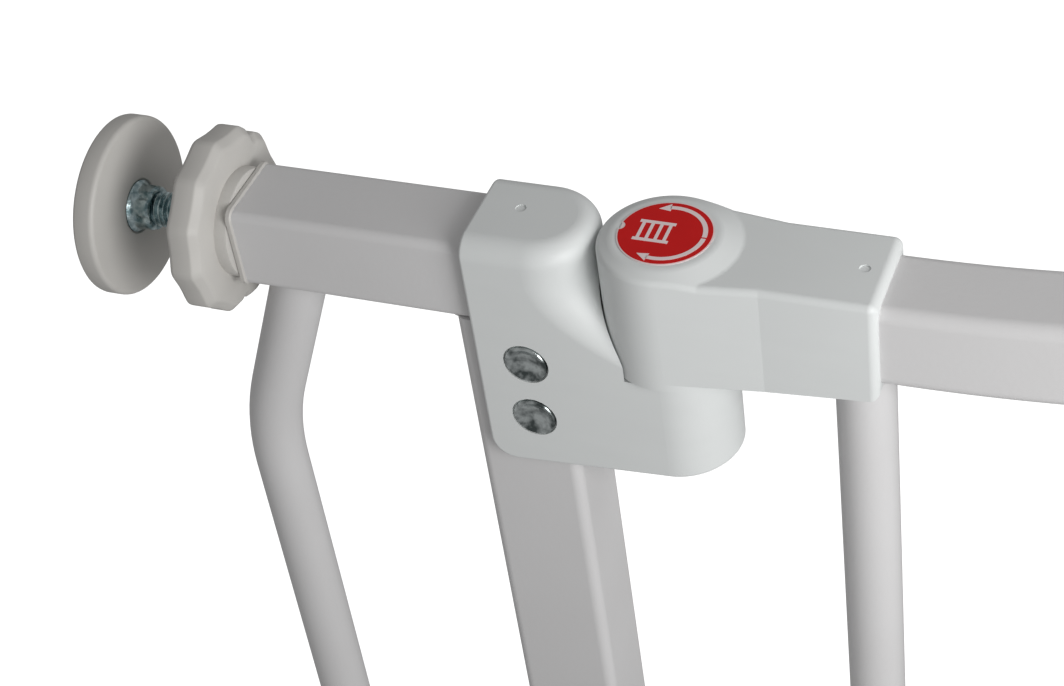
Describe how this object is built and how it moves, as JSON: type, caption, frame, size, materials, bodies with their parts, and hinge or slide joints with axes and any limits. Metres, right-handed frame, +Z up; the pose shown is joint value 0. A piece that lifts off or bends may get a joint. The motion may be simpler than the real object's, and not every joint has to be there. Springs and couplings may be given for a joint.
{
  "type": "stair gate hinge corner",
  "caption": "Upper hinge corner of a pressure-fit stair gate: wall pad on a screw spindle with a handwheel, square top tube, post, bent outer bar and swinging gate knuckle with rail.",
  "frame": {"origin": "middle of the wall pad's contact face, on the axis of the threaded spindle", "axes": "+X from the wall along the top tube to the gate, +Y to the back (away from the side the rivet heads are on), +Z up"},
  "size_m": [0.2711, 0.0528, 0.2424],
  "materials": {
    "white_moulding": "satin injection moulding",
    "grey_white_moulding": "satin injection moulding",
    "powder_coat": "white semi-gloss powder coat",
    "zinc": "bright blue zinc plate",
    "pin_steel": "ground",
    "acetal": "natural",
    "rubber": "ribbed",
    "label": "printed gloss label"
  },
  "bodies": {
    "frame": {"top_tube": "powder_coat", "tube_end_cap": "grey_white_moulding", "post_tube": "powder_coat", "bent_bar": "powder_coat", "frame_welds": "powder_coat", "hinge_bracket": "white_moulding", "bracket_rivets": "zinc", "rivet_washers": "zinc", "hinge_pin": "pin_steel", "thrust_washer": "acetal", "stop_peg": "pin_steel"},
    "handwheel": {"handwheel": "grey_white_moulding", "wheel_nut": "zinc"},
    "spindle": {"spindle": "zinc", "spindle_collar": "zinc", "wall_pad": "grey_white_moulding", "pad_face": "rubber"},
    "gate": {"hinge_knuckle": "white_moulding", "stop_ring": "white_moulding", "knuckle_bush": "acetal", "direction_label": "label", "gate_rail": "powder_coat", "gate_bar": "powder_coat", "rail_screws": "zinc"}
  },
  "joints": [
    {"name": "wheel_turn", "type": "hinge", "parent": "frame", "child": "handwheel", "pos_m": [0.0345, 0, 0], "axis": [1, 0, 0], "range_deg": [-3600, 5400]},
    {"name": "spindle_slide", "type": "slide", "parent": "frame", "child": "spindle", "axis": [-1, 0, 0], "range_m": [-0.0151, 0.0226]},
    {"name": "gate_swing", "type": "hinge", "parent": "frame", "child": "gate", "pos_m": [0.165, 0, 0], "axis": [0, 0, 1], "range_deg": [-40, 90]}
  ],
  "couplings": [
    {"joint": "spindle_slide", "follows": "wheel_turn", "m_per_rad": 0.00023873}
  ]
}
